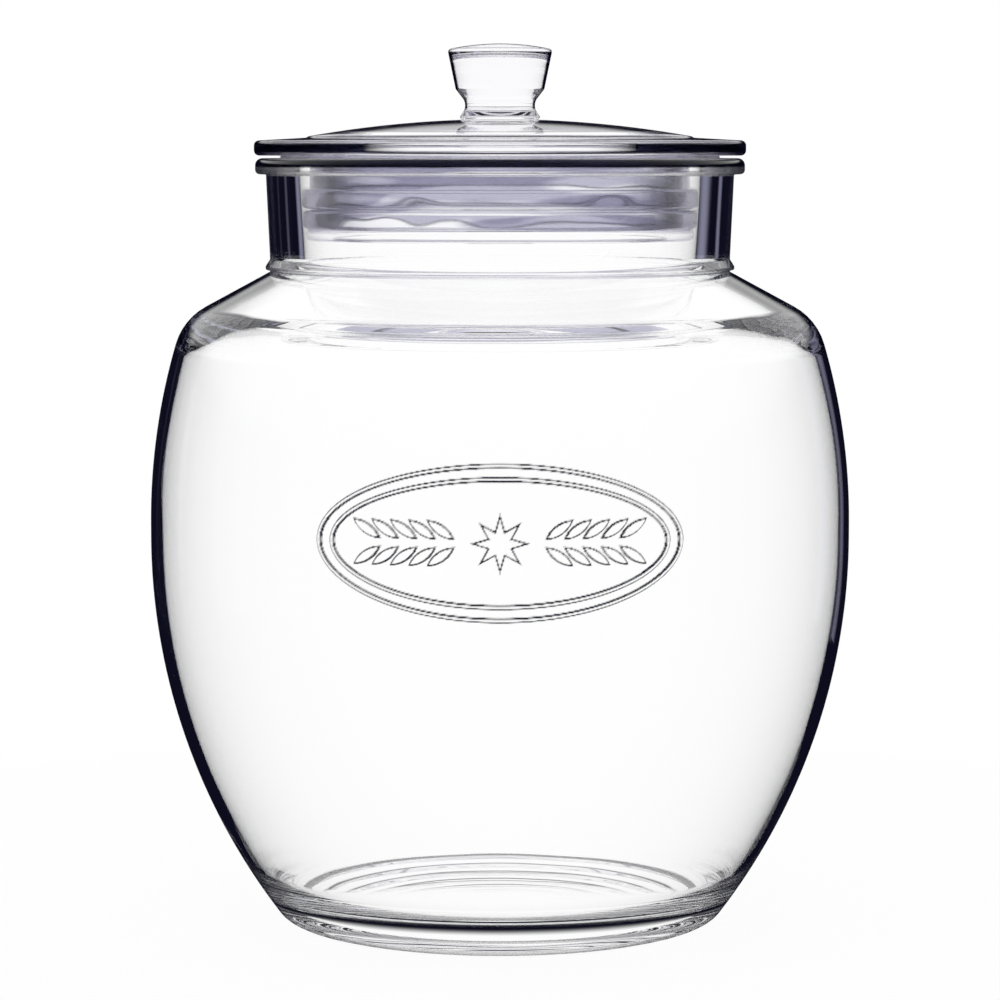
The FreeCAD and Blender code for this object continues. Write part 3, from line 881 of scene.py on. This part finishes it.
def reflected(nodes, links, path):
    """Two masks: light that the near surface sends back, and light turned back inside.

    The second is turned back in the glass of the near wall, or in that of the plug behind it.
    """
    depth = path.outputs["Transmission Depth"]
    turned_back = math_node(nodes, links, "GREATER_THAN", path.outputs["Glossy Depth"], 0.5)
    outside = math_node(nodes, links, "LESS_THAN", depth, 0.5)
    wall = math_node(nodes, links, "LESS_THAN", depth, NEAR_WALL)
    wall = math_node(nodes, links, "SUBTRACT", wall, outside)
    plug = math_node(nodes, links, "GREATER_THAN", depth, PLUG_WALL)
    inside = math_node(nodes, links, "MAXIMUM", wall, plug)
    return (math_node(nodes, links, "MULTIPLY", turned_back, outside),
            math_node(nodes, links, "MULTIPLY", turned_back, inside))


def between(nodes, links, value, low, high, blend):
    """1 between two values, 0 outside them, with a soft step of the blend's width at each."""
    above = smooth_range(nodes, links, value, low - blend, low + blend)
    below = smooth_range(nodes, links, value, high + blend, high - blend)
    return math_node(nodes, links, "MULTIPLY", above, below)


def mixed_colour(nodes, links, factor, first, second):
    """Mix of two colours, or of linked colours, by a factor."""
    mix = nodes.new("ShaderNodeMix")
    mix.data_type = "RGBA"
    links.new(factor, mix.inputs["Factor"])
    for name, value in (("A", first), ("B", second)):
        socket = next(s for s in mix.inputs if s.name == name and s.type == "RGBA")
        if isinstance(value, bpy.types.NodeSocket):
            links.new(value, socket)
        else:
            socket.default_value = (*value, 1.0)
    return next(s for s in mix.outputs if s.type == "RGBA")


def floor_material(studio):
    """White table: it keeps the shadow near the jar and glows into the white further out."""
    material = bpy.data.materials.new("white table")
    material.cycles.emission_sampling = "NONE"
    material.use_nodes = True
    nodes, links = material.node_tree.nodes, material.node_tree.links
    nodes.clear()
    out = nodes.new("ShaderNodeOutputMaterial")
    matt = nodes.new("ShaderNodeBsdfDiffuse")
    matt.inputs["Color"].default_value = TABLE_WHITE
    glow = nodes.new("ShaderNodeEmission")
    path = nodes.new("ShaderNodeLightPath")
    place = nodes.new("ShaderNodeTexCoord")
    reach = nodes.new("ShaderNodeVectorMath")
    reach.operation = "LENGTH"
    links.new(place.outputs["Object"], reach.inputs[0])
    fade = (share * studio.floor_radius for share in TABLE_FADE)
    far = smooth_range(nodes, links, reach.outputs["Value"], *fade)
    beside = smooth_range(nodes, links, reach.outputs["Value"], *UNDER_BASE)
    mirrored = math_node(nodes, links, "MAXIMUM", *reflected(nodes, links, path))
    mirrored = math_node(nodes, links, "MULTIPLY", mirrored, beside)
    links.new(mixed_colour(nodes, links, mirrored, WHITE, studio.dark), glow.inputs["Color"])
    share = math_node(nodes, links, "MAXIMUM", far, studio.floor_glow)
    seen = math_node(nodes, links, "MULTIPLY", path.outputs["Is Camera Ray"], share)
    glassy = math_node(nodes, links, "MAXIMUM", path.outputs["Is Glossy Ray"],
                       path.outputs["Is Transmission Ray"])
    mix = nodes.new("ShaderNodeMixShader")
    links.new(math_node(nodes, links, "MAXIMUM", seen, glassy), mix.inputs["Fac"])
    links.new(matt.outputs["BSDF"], mix.inputs[1])
    links.new(glow.outputs["Emission"], mix.inputs[2])
    links.new(mix.outputs["Shader"], out.inputs["Surface"])
    return material


def studio_world(studio):
    """White all round; reflections show a dark room that is white overhead.

    Light that turned back inside the glass also finds pale windows in that room.
    """
    world = bpy.data.worlds.new("studio")
    bpy.context.scene.world = world
    world.use_nodes = True
    world.cycles.sampling_method = "NONE"
    nodes, links = world.node_tree.nodes, world.node_tree.links
    nodes.clear()
    out = nodes.new("ShaderNodeOutputWorld")
    light = nodes.new("ShaderNodeBackground")
    place = nodes.new("ShaderNodeTexCoord")
    parts = nodes.new("ShaderNodeSeparateXYZ")
    links.new(place.outputs["Generated"], parts.inputs["Vector"])
    level = nodes.new("ShaderNodeMapping")
    level.inputs["Scale"].default_value = (1.0, 1.0, 0.0)
    links.new(place.outputs["Generated"], level.inputs["Vector"])
    uneven = nodes.new("ShaderNodeTexNoise")
    uneven.inputs["Scale"].default_value = WINDOWS
    uneven.inputs["Detail"].default_value = 0.0
    links.new(level.outputs["Vector"], uneven.inputs["Vector"])
    window = smooth_range(nodes, links, uneven.outputs["Fac"], *WINDOW_EDGE)
    room = mixed_colour(nodes, links, window, studio.dark, studio.pale)
    ceiling = smooth_range(nodes, links, parts.outputs["Z"], *HIGH_CEILING)
    room = mixed_colour(nodes, links, ceiling, room, WHITE)
    outside, inside = reflected(nodes, links, nodes.new("ShaderNodeLightPath"))
    low = smooth_range(nodes, links, parts.outputs["Z"], *reversed(LOW_CEILING))
    low = math_node(nodes, links, "MULTIPLY", outside, low)
    surround = mixed_colour(nodes, links, low, WHITE, studio.dark)
    links.new(mixed_colour(nodes, links, inside, surround, room), light.inputs["Color"])
    links.new(light.outputs["Background"], out.inputs["Surface"])


# ---- Operators ----------------------------------------------------------------------
def finished(piece, node):
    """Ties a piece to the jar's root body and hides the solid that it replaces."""
    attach(piece, "root")
    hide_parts(node)


class JAR_OT_body(bpy.types.Operator):
    """Make the glass body with its medallion"""
    bl_idname = "jar.body"
    bl_label = "Body"

    def execute(self, context):
        scene = context.scene
        shape, look = scene.jar_shape, scene.glass_look
        # Painted dark shade, seen by the camera, all round the top of the rim bead.
        rim = (shape.height - RIM_BAND, shape.height, PAINTED_SHADE_ALL_ROUND)
        glass = glass_material("clear jar glass", look, [rim], ripple=look.ripple)
        piece = jar_body(shape, scene.medallion_shape, glass)
        finished(piece, "jar_body")
        return {"FINISHED"}


class JAR_OT_lid(bpy.types.Operator):
    """Make the pressed glass lid with its knob and plug"""
    bl_idname = "jar.lid"
    bl_label = "Lid"

    def execute(self, context):
        scene = context.scene
        lid, look = scene.lid_shape, scene.glass_look
        rise = lid.top - lid.knob_height - lid.crown_rise
        # Bands where the camera sees painted dark shade: the flange's edge, the step and the knob.
        flange = (rise + lid.flange_rounding / 2,
                  rise + lid.flange_edge - lid.flange_rounding / 2, THICK_EDGE_PAINTED_SHADE)
        step = (rise + lid.flange_top_rise - STEP_BAND, rise + lid.dome_edge_rise, THICK_EDGE_PAINTED_SHADE)
        knob = (rise + lid.crown_rise + lid.knob_flare, lid.top - lid.knob_rounding, ROUND_EDGE_PAINTED_SHADE)
        glass = glass_material("clear lid glass", look, [flange, step, knob], depth=look.depth)
        piece = turned_piece("lid_glass", lid_outline(lid), scene.jar_shape.columns, glass)
        finished(piece, "lid")
        return {"FINISHED"}


class JAR_OT_seal(bpy.types.Operator):
    """Make the ribbed seal round the plug"""
    bl_idname = "jar.seal"
    bl_label = "Seal"

    def execute(self, context):
        scene = context.scene
        line = seal_outline(scene.seal_shape, scene.lid_shape, scene.jar_shape)
        rubber = seal_material(scene.glass_look)
        piece = turned_piece("clear_seal", line, scene.jar_shape.columns, rubber, poles=False)
        finished(piece, "seal")
        return {"FINISHED"}


class JAR_OT_stage(bpy.types.Operator):
    """Make the white table, the studio world and the camera"""
    bl_idname = "jar.stage"
    bl_label = "Stage"

    def execute(self, context):
        scene, studio = context.scene, context.scene.studio
        turn = np.arange(TABLE_FACETS) * 2 * math.pi / TABLE_FACETS
        rim = np.stack((np.cos(turn), np.sin(turn), 0 * turn), axis=1) * studio.floor_radius
        mesh = bpy.data.meshes.new("table")
        mesh.from_pydata(rim.tolist(), [], [list(range(len(rim)))])
        mesh.materials.append(floor_material(studio))
        table = bpy.data.objects.new("table", mesh)
        scene.collection.objects.link(table)
        studio_world(studio)
        camera = bpy.data.cameras.new("camera")
        camera.sensor_width = SENSOR
        camera.lens = studio.lens
        camera.clip_start, camera.clip_end = NEAR_CLIP, FAR_CLIP
        holder = bpy.data.objects.new("camera", camera)
        holder.location = (0.0, -studio.camera_distance, studio.camera_height)
        aim = Vector((0.0, 0.0, studio.aim_height)) - holder.location
        holder.rotation_euler = aim.to_track_quat("-Z", "Y").to_euler()
        scene.collection.objects.link(holder)
        scene.camera = holder
        scene.view_settings.view_transform = "Standard"
        scene.cycles.max_bounces = LIGHT_BOUNCES
        scene.cycles.transmission_bounces = LIGHT_BOUNCES
        scene.cycles.glossy_bounces = LIGHT_BOUNCES
        return {"FINISHED"}


class JAR_PT_panel(bpy.types.Panel):
    """Lists the pieces of the jar and the stage"""
    bl_idname = "JAR_PT_panel"
    bl_label = "Glass Storage Jar"
    bl_space_type = "VIEW_3D"
    bl_region_type = "UI"
    bl_category = "Jar"

    def draw(self, context):
        for operator in OPERATORS:
            self.layout.operator(operator.bl_idname)


GROUPS = {"jar_shape": JarShape, "medallion_shape": MedallionShape, "lid_shape": LidShape,
          "seal_shape": SealShape, "glass_look": GlassLook, "studio": Studio}
OPERATORS = (JAR_OT_body, JAR_OT_lid, JAR_OT_seal, JAR_OT_stage)
CLASSES = (*GROUPS.values(), *OPERATORS, JAR_PT_panel)


def register():
    for cls in CLASSES:
        bpy.utils.register_class(cls)
    for name, group in GROUPS.items():
        setattr(bpy.types.Scene, name, PointerProperty(type=group))


def unregister():
    for name in GROUPS:
        delattr(bpy.types.Scene, name)
    for cls in reversed(CLASSES):
        bpy.utils.unregister_class(cls)


def main():
    register()
    bpy.ops.jar.stage()
    bpy.ops.jar.body()
    bpy.ops.jar.lid()
    bpy.ops.jar.seal()


if __name__ == "__main__":
    main()
